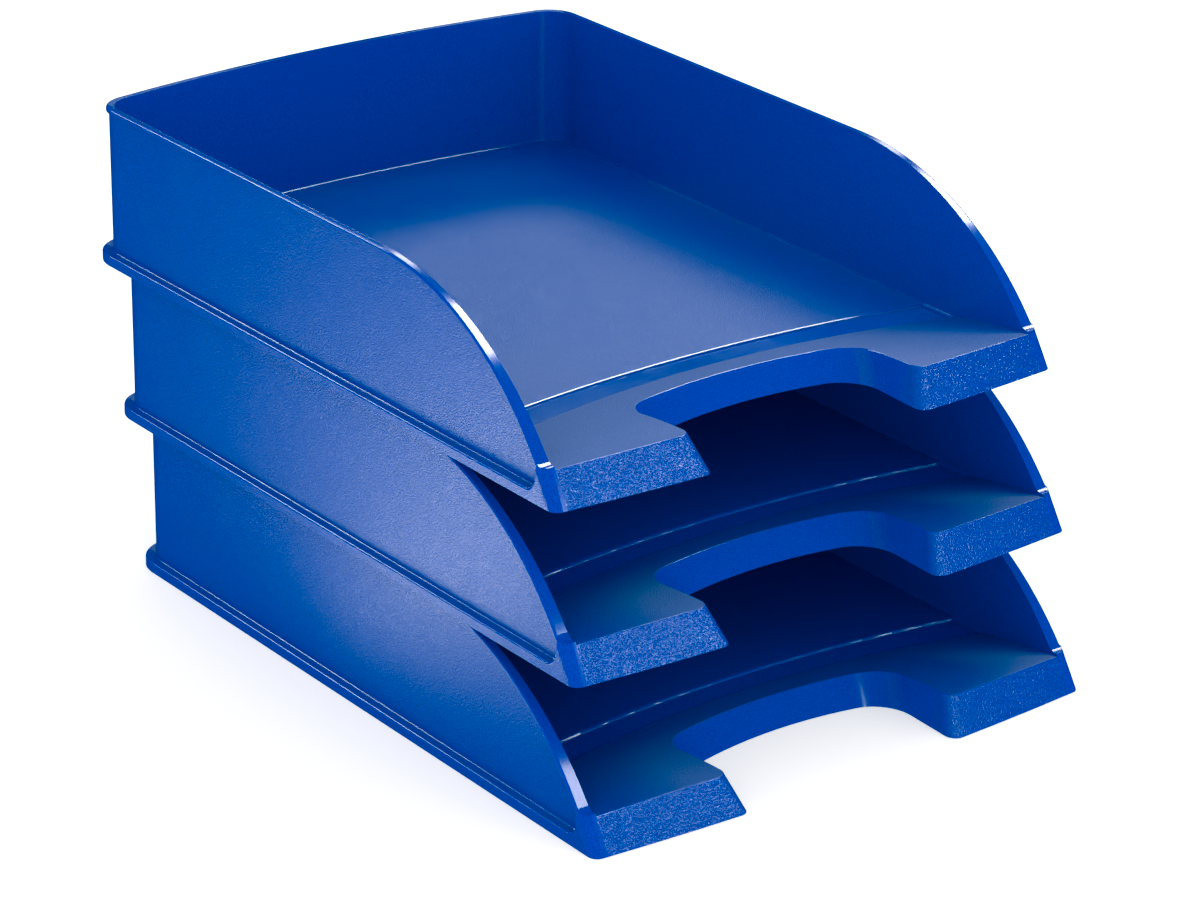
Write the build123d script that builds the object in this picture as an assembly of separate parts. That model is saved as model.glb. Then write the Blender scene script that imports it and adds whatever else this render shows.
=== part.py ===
from build123d import *
import math
import os

# A stack of three identical letter trays, each one thin-walled plastic moulding.
# mm, +Z up, front towards -Y. The origin is the centre of the stack's footprint, on
# the surface it stands on. One tray is drawn about its own centre and then placed.

# one tray
WIDTH = 255.0
DEPTH = 356.5
HEIGHT = 70.0
SHEET = 2.4             # floor, lip and ledge thickness
SKIRT = 2.2             # thickness of the low skirt round the foot
WALL = 2.1              # side and rear walls
FRONT_BOW = 5.5         # bulge of the front in plan
REAR_BOW = 10.6         # bulge of the rear in plan
FRONT_LEAN = 8.7 / 14.8  # the front face leans back by this much per mm of height
FRONT_CORNER = 4.5
FRONT_CORNER_GROWTH = 0.1    # per mm of height
REAR_CORNER = 18.5

# foot ledge, floor and rim
LEDGE_Z = 4.5
LEDGE = 4.5             # from the skirt in to the wall
WALL_CORNER = 14.0
FLOOR_Z = 6.8
FLOOR_FILLET = 1.0
WALL_FOOT = 0.8         # fillet between the ledge and the wall
BEAD = 1.15             # rim bead stands out past the wall
BEAD_DEPTH = 1.8
BEAD_FLARE = 2300.0     # plan radius of the bead along the arc, widening to the front

# side wall: level rim, then one long arc down to the lip
ARC_START = -52.0
ARC_RADIUS = 135.5
ARC_FOOT = 6.0
LIP_Z = 15.0
POST_REAR = -160.0      # rear edge of the flush post at each front corner
POST_FILLET = 6.0

# smooth channel across the tray between the floor and the lip
FLOOR_EDGE_Y = -89.5
FLOOR_EDGE_RADIUS = 642.0
CHANNEL_Z = 6.1
LIP_START_Y = -102.0
LIP_START_RADIUS = 434.0
LIP_PROFILE = ((0, 7.3), (15, 10.2), (30, 12.6), (45, 14.2), (57, 14.75), (72, 14.8))

# finger cut-out in the lip
NOTCH_HALF = 54.5
NOTCH_SIDE_LEAN = 0.35
NOTCH_REAR_Y = -127.2
NOTCH_REAR_LEAN = 0.98
NOTCH_BOW = 0.0027
NOTCH_TAPER = 0.04       # the sides close in by this much per mm towards the mouth
NOTCH_CORNER = 18.0
NOTCH_MOUTH_CORNER = 5.5

# rounding of the visible edges
RIM_ROUND = 0.8
LIP_ROUND = 0.6
LEDGE_ROUND = 0.8
FLOOR_EDGE_ROUND = 0.65
CHANNEL_ROUND = 0.5

# the stack: each tray rests on the rim below and is set back one step
SEAT_Z = LEDGE_Z - SHEET
PITCH = HEIGHT - SEAT_Z
STEP = 14.2
NAMES = ("lower_tray", "middle_tray", "upper_tray")


def plan(inset, front, rear_corner, front_corner):
    """Plan outline: straight sides, bowed front and rear, rounded corners."""
    half = WIDTH / 2 - inset
    rear = DEPTH / 2 - inset
    front_left = (-half, front + FRONT_BOW)
    front_right = (half, front + FRONT_BOW)
    rear_right = (half, rear - REAR_BOW)
    rear_left = (-half, rear - REAR_BOW)
    edges = [
        ThreePointArc(front_left, (0, front), front_right),
        Line(front_right, rear_right),
        ThreePointArc(rear_right, (0, rear), rear_left),
        Line(rear_left, front_left),
    ]
    face = make_face(edges)
    corners = face.vertices().sort_by(Axis.Y)
    face = fillet(corners[-2:], rear_corner)
    corners = face.vertices().sort_by(Axis.Y)
    return fillet(corners[:2], front_corner)


def leaning(inset, grow, top, rear_corner, front_corner):
    """Solid on the plan outline whose front face leans back."""
    front = -DEPTH / 2 + grow
    low = plan(inset, front - FRONT_LEAN, rear_corner, front_corner - FRONT_CORNER_GROWTH)
    high = plan(inset, front + FRONT_LEAN * top, rear_corner, front_corner + FRONT_CORNER_GROWTH * top)
    return loft([Pos(0, 0, -1) * low, Pos(0, 0, top) * high], ruled=True)


def rim_plan():
    """Plan outline of the rim bead, flaring out along the arc towards the front."""
    half = WIDTH / 2 - LEDGE + BEAD
    rear = DEPTH / 2 - LEDGE + BEAD
    angle = math.asin((ARC_START + 220) / BEAD_FLARE)
    front = half + BEAD_FLARE * (1 - math.cos(angle))
    bend = half + BEAD_FLARE * (1 - math.cos(angle / 2))
    bend_y = ARC_START - BEAD_FLARE * math.sin(angle / 2)
    edges = [
        ThreePointArc((-half, rear - REAR_BOW), (0, rear), (half, rear - REAR_BOW)),
        Line((half, rear - REAR_BOW), (half, ARC_START)),
        ThreePointArc((half, ARC_START), (bend, bend_y), (front, -220)),
        Line((front, -220), (-front, -220)),
        ThreePointArc((-front, -220), (-bend, bend_y), (-half, ARC_START)),
        Line((-half, ARC_START), (-half, rear - REAR_BOW)),
    ]
    face = make_face(edges)
    return fillet(face.vertices().sort_by(Axis.Y)[-2:], WALL_CORNER + BEAD)


def side_profile(drop):
    """Area under the wall edge seen from the side, lowered by drop."""
    radius = ARC_RADIUS - drop
    centre_z = HEIGHT - ARC_RADIUS
    top = HEIGHT - drop
    foot_z = LIP_Z - drop + ARC_FOOT + drop
    reach = radius + ARC_FOOT + drop
    foot_y = ARC_START - math.sqrt(reach ** 2 - (foot_z - centre_z) ** 2)
    scale = radius / reach
    join_y = ARC_START + (foot_y - ARC_START) * scale
    join_z = centre_z + (foot_z - centre_z) * scale
    angle = math.atan2(ARC_START - join_y, join_z - centre_z) / 2
    mid = (ARC_START - radius * math.sin(angle), centre_z + radius * math.cos(angle))
    low = LIP_Z - drop
    foot = ARC_FOOT + drop
    turn = math.atan2(join_y - foot_y, foot_z - join_z) / 2
    foot_mid = (foot_y + foot * math.sin(turn), foot_z - foot * math.cos(turn))
    edges = [
        Line((200, -2), (200, top)),
        Line((200, top), (ARC_START, top)),
        ThreePointArc((ARC_START, top), mid, (join_y, join_z)),
        ThreePointArc((join_y, join_z), foot_mid, (foot_y, low)),
        Line((foot_y, low), (-200, low)),
        Line((-200, low), (-200, -2)),
        Line((-200, -2), (200, -2)),
    ]
    return make_face(edges)


def across(area, low, high):
    """Extrude an area drawn in (y, z) from x = low to x = high."""
    return Pos(low, 0, 0) * extrude(Plane.YZ * area, high - low)


def disc(y, radius, low, high):
    """Upright cylinder whose rearmost point lies at y."""
    return Pos(0, y - radius, low) * Cylinder(radius, high - low, align=(Align.CENTER, Align.CENTER, Align.MIN))


def lip_body(drop, low):
    """Domed lip, higher towards the front, with its crest lowered by drop."""
    points = [(LIP_START_RADIUS - s, z - drop) for s, z in LIP_PROFILE]
    last = (300.0, points[-1][1])
    edges = [
        Spline(*points),
        Line(points[-1], last),
        Line(last, (300.0, low)),
        Line((300.0, low), (LIP_START_RADIUS, low)),
        Line((LIP_START_RADIUS, low), points[0]),
    ]
    area = Plane.XZ * make_face(edges)
    ring = revolve(area, Axis.Z)
    return Pos(0, LIP_START_Y - LIP_START_RADIUS, 0) * ring


def notch_plan(z, grow):
    half = NOTCH_HALF + NOTCH_SIDE_LEAN * z + grow * 1.06
    rear = NOTCH_REAR_Y + NOTCH_REAR_LEAN * z + grow * 1.4
    side = rear - NOTCH_BOW * half ** 2
    mouth = half - NOTCH_TAPER * (side + 220)
    edges = [
        ThreePointArc((-half, side), (0, rear), (half, side)),
        Line((half, side), (mouth, -220)),
        Line((mouth, -220), (-mouth, -220)),
        Line((-mouth, -220), (-half, side)),
    ]
    face = make_face(edges)
    return fillet(face.vertices().sort_by(Axis.Y)[-2:], NOTCH_CORNER)


def notch(grow):
    """Finger cut-out, wider at the top; grow leaves its skirt behind."""
    return loft([Pos(0, 0, -2) * notch_plan(-2, grow), Pos(0, 0, 20) * notch_plan(20, grow)], ruled=True)


def foot(hull):
    """Low ledge round the foot, rising at each front corner into a flush post."""
    toe = POST_REAR + POST_FILLET
    bend = POST_FILLET * (1 - math.sqrt(0.5))
    edges = [
        Line((200, 0), (200, LEDGE_Z)),
        Line((200, LEDGE_Z), (toe, LEDGE_Z)),
        ThreePointArc((toe, LEDGE_Z), (POST_REAR + bend, LEDGE_Z + bend), (POST_REAR, LEDGE_Z + POST_FILLET)),
        Line((POST_REAR, LEDGE_Z + POST_FILLET), (POST_REAR, 40)),
        Line((POST_REAR, 40), (-200, 40)),
        Line((-200, 40), (-200, 0)),
        Line((-200, 0), (200, 0)),
    ]
    solid = across(make_face(edges) & side_profile(0), -130, 130) & hull
    outer = [e for e in solid.edges() if outer_ledge(e)]
    return fillet(outer, LEDGE_ROUND)


def outer_ledge(edge):
    """True for the top outer edges of the ledge and the bend up into the post."""
    centre = edge.center()
    level = abs(centre.Z - LEDGE_Z) < 0.01 and abs(edge.bounding_box().size.Z) < 0.01
    side = abs(abs(centre.X) - WIDTH / 2) < 0.01
    bend = side and centre.Y < POST_REAR + POST_FILLET and centre.Y > POST_REAR + 0.1 and centre.Z > LEDGE_Z
    rear = centre.Y > 160
    return (level and (side or rear)) or bend


def tray():
    hull = leaning(0, 0, 80, REAR_CORNER, FRONT_CORNER)
    tub = extrude(plan(LEDGE, -220, WALL_CORNER, 1), HEIGHT + 5)

    # walls and rim bead
    walls = tub & across(side_profile(0), -130, 130)
    beaded = extrude(rim_plan(), HEIGHT + 5)
    bead = beaded & (across(side_profile(0), -130, 130) - across(side_profile(BEAD_DEPTH), -131, 131))
    body = walls + bead
    body = fillet([e for e in body.edges() if rim_edge(e)], RIM_ROUND) & hull
    body = body + foot(hull)
    body = fillet([e for e in body.edges() if wall_foot(e)], WALL_FOOT)

    # inside space with a filleted floor, then the lip back in across the front
    room = extrude(plan(LEDGE + WALL, -220, WALL_CORNER - WALL + 0.5, 1), HEIGHT)
    room = Pos(0, 0, FLOOR_Z) * room
    low_edges = room.edges().filter_by(lambda e: abs(e.center().Z - FLOOR_Z) < 0.01)
    low_edges = low_edges.filter_by(lambda e: e.center().Y > -200)
    room = fillet(low_edges, FLOOR_FILLET)
    body = body - room
    channel = disc(FLOOR_EDGE_Y, FLOOR_EDGE_RADIUS, CHANNEL_Z, 9) - disc(LIP_START_Y, LIP_START_RADIUS, 0, 20)
    inner = WIDTH / 2 - LEDGE - WALL
    channel = channel & Box(2 * inner - 3, 400, 40)
    body = body - channel
    lip = lip_body(0, 0) & hull & Box(2 * inner + 2, 400, 60)
    body = body + lip

    # hollow underside
    under = leaning(SKIRT, SKIRT * 1.17, SEAT_Z, REAR_CORNER - SKIRT, FRONT_CORNER - SKIRT)
    under = under + (leaning(LEDGE + SKIRT, SKIRT * 1.17, FLOOR_Z - SHEET, WALL_CORNER - SKIRT, 2)
                     & Pos(0, 100, 0) * Box(400, 500, 40))
    hollow = lip_body(SHEET, -1) & leaning(SKIRT, SHEET * 1.17, 40, REAR_CORNER, FRONT_CORNER - SKIRT)
    hollow = hollow & (Box(2 * inner - 1, 400, 60) + Pos(0, POST_REAR - SHEET - 30, 0) * Box(400, 60, 60))
    under = under + hollow - notch(SHEET)
    return rounded(body - under - notch(0))


def near(edge, x, y, z, reach):
    """True if the edge's middle is at this place, on either side of the tray."""
    centre = edge.center()
    return abs(abs(centre.X) - x) < reach and abs(centre.Y - y) < reach and abs(centre.Z - z) < reach


def rim_edge(edge):
    """Outer top edge of the rim, level part and front arc."""
    centre = edge.center()
    out = WIDTH / 2 - LEDGE + BEAD
    on_side = abs(abs(centre.X) - out) < 0.05 and edge.length > 50
    level = abs(centre.Z - HEIGHT) < 0.01
    arc = near(edge, 124.9, -111.5, 56.3, 0.8)
    outer = DEPTH / 2 - LEDGE + BEAD
    rear = abs(centre.Y - outer) < 0.05 or (edge.length < 15 and edge.bounding_box().max.Y > 165)
    return (level and (on_side or rear)) or arc


def wall_foot(edge):
    """Inner corner where the wall stands on the ledge."""
    box = edge.bounding_box()
    level = abs(edge.center().Z - LEDGE_Z) < 0.01 and box.size.Z < 0.01
    half = WIDTH / 2 - LEDGE + 0.1
    return level and edge.length > 15 and box.max.X < half and box.min.X > -half and box.max.Y < DEPTH / 2 - 2


def lip_edge(edge):
    """Top edge of the front lip and of the finger cut-out."""
    box = edge.bounding_box()
    raised = box.min.Z > 9.9 and box.max.Z < 15
    cut = abs(edge.center().X) < 65 and box.max.Y > -172 and box.min.Y > -172
    front = abs(edge.center().X) > 65 and edge.length > 40 and edge.center().Y < -160
    return raised and (cut or front)


def rounded(body):
    """Round the edges that catch the light."""
    mouth = [e for e in body.edges() if near(e, 55.5, -173, 7.4, 1.2) and e.bounding_box().size.Z > 10]
    body = fillet(mouth, NOTCH_MOUTH_CORNER)
    body = fillet([e for e in body.edges() if lip_edge(e)], LIP_ROUND)
    floor_edge = [e for e in body.edges() if near(e, 0, FLOOR_EDGE_Y, FLOOR_Z, 0.5) and e.length > 200]
    body = fillet(floor_edge, FLOOR_EDGE_ROUND)
    lip_start = [e for e in body.edges() if near(e, 0, LIP_START_Y, LIP_PROFILE[0][1], 0.5) and e.length > 200]
    return fillet(lip_start, CHANNEL_ROUND)


os.makedirs("parts", exist_ok=True)
one = tray()
box = one.bounding_box()
back = STEP * (len(NAMES) - 1)
centring = -(box.min.Y + box.max.Y + back) / 2
for level, name in enumerate(NAMES):
    placed = Pos(0, centring + STEP * level, PITCH * level) * one
    export_step(placed, f"parts/{name}.step")
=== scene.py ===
import math

import bpy
from mathutils import Matrix, Vector


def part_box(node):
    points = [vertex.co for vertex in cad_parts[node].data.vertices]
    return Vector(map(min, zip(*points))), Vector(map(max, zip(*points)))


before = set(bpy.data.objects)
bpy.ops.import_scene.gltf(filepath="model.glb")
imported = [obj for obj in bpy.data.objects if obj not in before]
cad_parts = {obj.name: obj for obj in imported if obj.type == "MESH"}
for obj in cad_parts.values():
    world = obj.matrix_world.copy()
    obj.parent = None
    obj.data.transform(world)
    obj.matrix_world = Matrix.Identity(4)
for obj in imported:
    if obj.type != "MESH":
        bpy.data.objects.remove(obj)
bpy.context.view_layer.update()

TRAYS = ("lower_tray", "middle_tray", "upper_tray")

# one tray about its own centre, metres, front towards -Y
STEP = 0.0142            # each tray is set back this far from the one below
PITCH = 0.0679           # and stands this far above it
REAR = 0.17825           # the tray's rearmost point
WALL_IN = 0.1209         # inner face of the side walls
LEDGE_IN = 0.1226        # where the foot ledge starts outside the walls
FRONT_Y = -0.155         # the front blocks lie in front of this

# two arcs across the tray, each the rear edge of a big disc: front edge of the floor, rear edge of the lip
FLOOR_EDGE_Y, FLOOR_EDGE_RADIUS = -0.0895, 0.642
LIP_START_Y, LIP_START_RADIUS = -0.102, 0.434


# node helpers

def node(tree, kind, **values):
    made = tree.nodes.new(kind)
    for key, value in values.items():
        setattr(made, key, value)
    return made


def plug(tree, value, socket):
    if isinstance(value, (int, float, tuple)):
        socket.default_value = value
    else:
        tree.links.new(value, socket)


def calc(tree, operation, *values):
    made = node(tree, "ShaderNodeMath", operation=operation)
    for value, socket in zip(values, made.inputs):
        plug(tree, value, socket)
    return made.outputs[0]


def step(tree, value, low, high, to_low=0.0, to_high=1.0):
    made = node(tree, "ShaderNodeMapRange", clamp=True, interpolation_type="SMOOTHSTEP")
    for name, number in (("Value", value), ("From Min", low), ("From Max", high),
                         ("To Min", to_low), ("To Max", to_high)):
        plug(tree, number, made.inputs[name])
    return made.outputs["Result"]


def noise(tree, point, scale, detail):
    made = node(tree, "ShaderNodeTexNoise")
    tree.links.new(point, made.inputs["Vector"])
    made.inputs["Scale"].default_value = scale
    made.inputs["Detail"].default_value = detail
    return made.outputs[0]


def mix(tree, kind, factor, a, b):
    """Mix node of kind FLOAT or RGBA: each kind has its own pair of inputs and its own output."""
    first, result = {"FLOAT": (2, 0), "RGBA": (6, 2)}[kind]
    made = node(tree, "ShaderNodeMix", data_type=kind)
    for value, index in ((factor, 0), (a, first), (b, first + 1)):
        plug(tree, value, made.inputs[index])
    return made.outputs[result]


def disc_front(tree, x, y, rear, radius):
    """Distance in front of the arc that is a big disc's rear edge. Behind the arc it is negative."""
    dy = calc(tree, "SUBTRACT", y, rear - radius)
    square = calc(tree, "ADD", calc(tree, "MULTIPLY", x, x), calc(tree, "MULTIPLY", dy, dy))
    length = calc(tree, "SQRT", square)
    return calc(tree, "SUBTRACT", radius, length)


def bump(tree, distance, height, normal=None):
    made = node(tree, "ShaderNodeBump")
    made.inputs["Distance"].default_value = distance
    tree.links.new(height, made.inputs["Height"])
    if normal:
        tree.links.new(normal, made.inputs["Normal"])
    return made


def tray_regions(tree, x, y, ny, nz):
    """Masks over one tray (smooth places, front blocks, lip), and the relief of the two arcs."""
    side = calc(tree, "ABSOLUTE", x)
    up = step(tree, nz, 0.5, 0.75)
    tilted_up = step(tree, nz, 0.12, 0.3)
    within = step(tree, side, WALL_IN + 0.0002, WALL_IN - 0.0004)
    before_rear = step(tree, y, REAR - 0.006, REAR - 0.0068)
    inside = calc(tree, "MULTIPLY", within, before_rear)
    floor_edge = disc_front(tree, x, y, FLOOR_EDGE_Y, FLOOR_EDGE_RADIUS)
    lip_edge = disc_front(tree, x, y, LIP_START_Y, LIP_START_RADIUS)

    inner_wall = calc(tree, "MULTIPLY", inside, step(tree, nz, 0.5, 0.2))
    inner_wall = calc(tree, "MULTIPLY", inner_wall, step(tree, ny, 0.9, 0.5))
    inner_wall = calc(tree, "MULTIPLY", inner_wall, step(tree, y, -0.163, -0.16))
    rim = calc(tree, "MULTIPLY", step(tree, side, WALL_IN - 0.0004, WALL_IN + 0.0002), tilted_up)
    rear_rim = calc(tree, "MULTIPLY", calc(tree, "SUBTRACT", 1.0, before_rear), tilted_up)
    past_floor = step(tree, floor_edge, -0.0018, -0.0014)
    before_lip = step(tree, lip_edge, 0.0006, 0.0002)
    channel = calc(tree, "MULTIPLY", calc(tree, "MULTIPLY", past_floor, before_lip), up)
    turned = calc(tree, "MULTIPLY", step(tree, nz, 0.56, 0.62), step(tree, nz, 0.94, 0.88))
    ledge = calc(tree, "MULTIPLY", step(tree, side, LEDGE_IN, LEDGE_IN + 0.0003), tilted_up)
    smooth = inner_wall
    for part in (rim, rear_rim, channel, turned, ledge):
        smooth = calc(tree, "MAXIMUM", smooth, part)

    front = calc(tree, "MULTIPLY", step(tree, ny, -0.45, -0.65), step(tree, y, FRONT_Y, FRONT_Y - 0.003))
    lip = calc(tree, "MULTIPLY", step(tree, lip_edge, -0.0003, 0.0002), up)

    # the floor rolls down into the channel, and a fine groove marks the start of the lip
    roll = step(tree, floor_edge, -0.0018, 0.0, 2.4, 0.0)
    groove = calc(tree, "SUBTRACT", step(tree, lip_edge, -0.0008, -0.0002),
                  step(tree, lip_edge, -0.0002, 0.0004))
    relief = calc(tree, "MULTIPLY", calc(tree, "SUBTRACT", roll, groove), calc(tree, "MULTIPLY", inside, up))
    return smooth, front, lip, relief


def tray_plastic(name, level, offset_y):
    """Satin blue polystyrene: grained outside, floor and lip, smooth inside walls, rim, ledge and channel."""
    mat = bpy.data.materials.new(name)
    mat.use_nodes = True
    tree = mat.node_tree
    tree.nodes.clear()
    out = node(tree, "ShaderNodeOutputMaterial")
    shader = node(tree, "ShaderNodeBsdfPrincipled")
    tree.links.new(shader.outputs[0], out.inputs[0])

    # the tray's own coordinates
    coords = node(tree, "ShaderNodeTexCoord")
    place = node(tree, "ShaderNodeMapping")
    tree.links.new(coords.outputs["Object"], place.inputs["Vector"])
    place.inputs["Location"].default_value = (0, -offset_y, -PITCH * level)
    point = place.outputs[0]
    split = node(tree, "ShaderNodeSeparateXYZ")
    tree.links.new(point, split.inputs[0])
    facing = node(tree, "ShaderNodeSeparateXYZ")
    tree.links.new(coords.outputs["Normal"], facing.inputs[0])
    smooth, front, lip, relief = tray_regions(tree, *split.outputs[:2], *facing.outputs[1:])

    # grain: fine pebble, coarser on the front blocks
    height = mix(tree, "FLOAT", front, noise(tree, point, 1900, 1.0), noise(tree, point, 1500, 0.5))
    crease = bump(tree, 0.0003, relief)
    grain = bump(tree, 0.0006, height, crease.outputs[0])
    strength = calc(tree, "MULTIPLY", calc(tree, "SUBTRACT", 1.0, smooth),
                    calc(tree, "ADD", 0.5, calc(tree, "MULTIPLY", front, 0.5)))
    tree.links.new(strength, grain.inputs["Strength"])
    tree.links.new(grain.outputs[0], shader.inputs["Normal"])

    # gloss: satin where grained, shinier where smooth, with a slow drift
    wobble = noise(tree, point, 60, 2.0)
    rough_grain = step(tree, wobble, 0.3, 0.7, 0.34, 0.38)
    rough_grain = calc(tree, "SUBTRACT", rough_grain, calc(tree, "MULTIPLY", front, 0.12))
    rough_grain = calc(tree, "ADD", rough_grain, calc(tree, "MULTIPLY", lip, 0.25))
    rough_smooth = step(tree, wobble, 0.3, 0.7, 0.14, 0.17)
    tree.links.new(mix(tree, "FLOAT", smooth, rough_grain, rough_smooth), shader.inputs["Roughness"])
    shader.inputs["IOR"].default_value = 1.5

    # colour: a deep blue, a little paler on the tops of the grain
    tint = mix(tree, "RGBA", step(tree, height, 0.3, 0.7), (0.0003, 0.038, 0.35, 1), (0.0008, 0.062, 0.47, 1))
    tree.links.new(tint, shader.inputs["Base Color"])
    return mat


first_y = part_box(TRAYS[0])[1][1] - REAR
for level, tray in enumerate(TRAYS):
    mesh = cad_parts[tray].data
    mesh.materials.clear()
    mesh.materials.append(tray_plastic(tray + "_plastic", level, first_y + STEP * level))


def pale(name, shade, roughness, glow):
    mat = bpy.data.materials.new(name)
    mat.use_nodes = True
    shader = mat.node_tree.nodes["Principled BSDF"]
    shader.inputs["Base Color"].default_value = (shade, shade, shade, 1)
    shader.inputs["Emission Color"].default_value = (1, 1, 1, 1)
    shader.inputs["Emission Strength"].default_value = glow
    shader.inputs["Roughness"].default_value = roughness
    shader.inputs["Specular IOR Level"].default_value = 0.2
    return mat


# floor and surroundings: an even white room that the plastic's gloss doesn't pick up
bpy.ops.mesh.primitive_plane_add(size=30, location=(0, 0, -0.0002))
floor = bpy.context.object
floor.name = "floor"
floor.visible_glossy = False
floor.data.materials.append(pale("floor", 0.95, 0.9, 0.3))

world = bpy.data.worlds.new("studio")
bpy.context.scene.world = world
world.use_nodes = True
world.cycles_visibility.glossy = False
world.node_tree.nodes["Background"].inputs[0].default_value = (1, 1, 1, 1)
world.node_tree.nodes["Background"].inputs[1].default_value = 1.1

# a faint red is taken off the whole picture, so that the blue stays pure where its sheen is weak
grade = bpy.context.scene.view_settings
grade.view_transform = "Standard"
grade.use_curve_mapping = True
grade.curve_mapping.black_level = (0.05, 0, 0)
grade.curve_mapping.update()


def softbox(name, place, aim, width, height, radiance, along=None, gloss_only=True):
    """Rectangular softbox. One that is gloss only gives the plastic its sheen and no other light."""
    data = bpy.data.lights.new(name, "AREA")
    data.shape = "RECTANGLE"
    data.size, data.size_y = width, height
    data.energy = radiance * math.pi * width * height
    lamp = bpy.data.objects.new(name, data)
    bpy.context.collection.objects.link(lamp)
    away = (Vector(place) - Vector(aim)).normalized()
    across = Vector(along) if along else Vector((0, 0, 1)).cross(away)
    across = (across - away * across.dot(away)).normalized()
    lamp.location = place
    lamp.rotation_euler = Matrix((across, away.cross(across), away)).transposed().to_euler()
    lamp.visible_camera = False
    lamp.visible_diffuse = not gloss_only
    lamp.visible_glossy = gloss_only


softbox("left_sheen", (-0.34, 0.10, 0.003), (-0.34, 0.10, 1), 0.34, 0.18, 8.0, along=(-0.6, 0.8, 0))
softbox("back_sheen", (0.98, 1.28, 1.22), (0, -0.03, 0.14), 1.0, 0.35, 7.5)
softbox("front_sheen", (0.045, -0.365, 0.17), (-0.09, -0.18, 0.07), 0.08, 0.2, 12.0)
softbox("edge_rear", (-0.5, 1.3, 1.1), (0, 0, 0.15), 0.5, 0.2, 22.0)
softbox("edge_top", (0.85, 0.16, 1.42), (0, 0, 0.15), 0.6, 0.7, 24.0)
softbox("front_fill", (-0.3, -1.7, 0.3), (0, 0, 0.1), 1.8, 0.5, 1.2, gloss_only=False)

# camera: at the photograph's viewpoint, aimed down at the stack, with no shift
HEADING, TILT, ROLL = -0.65308, 0.40457, 0.01498
FOCAL = 3.48312          # in picture widths
back = Vector((math.sin(HEADING) * math.cos(TILT), -math.cos(HEADING) * math.cos(TILT), math.sin(TILT)))
right = Vector((0, 0, 1)).cross(back).normalized()
up = back.cross(right)
right, up = right * math.cos(ROLL) + up * math.sin(ROLL), up * math.cos(ROLL) - right * math.sin(ROLL)
lens = bpy.data.cameras.new("camera")
lens.sensor_width = 36
lens.lens = FOCAL * lens.sensor_width
lens.clip_end = 100
camera = bpy.data.objects.new("camera", lens)
bpy.context.collection.objects.link(camera)
camera.location = (-0.98899, first_y - 1.298554, 0.77930)
camera.rotation_euler = Matrix((right, up, back)).transposed().to_euler()
bpy.context.scene.camera = camera
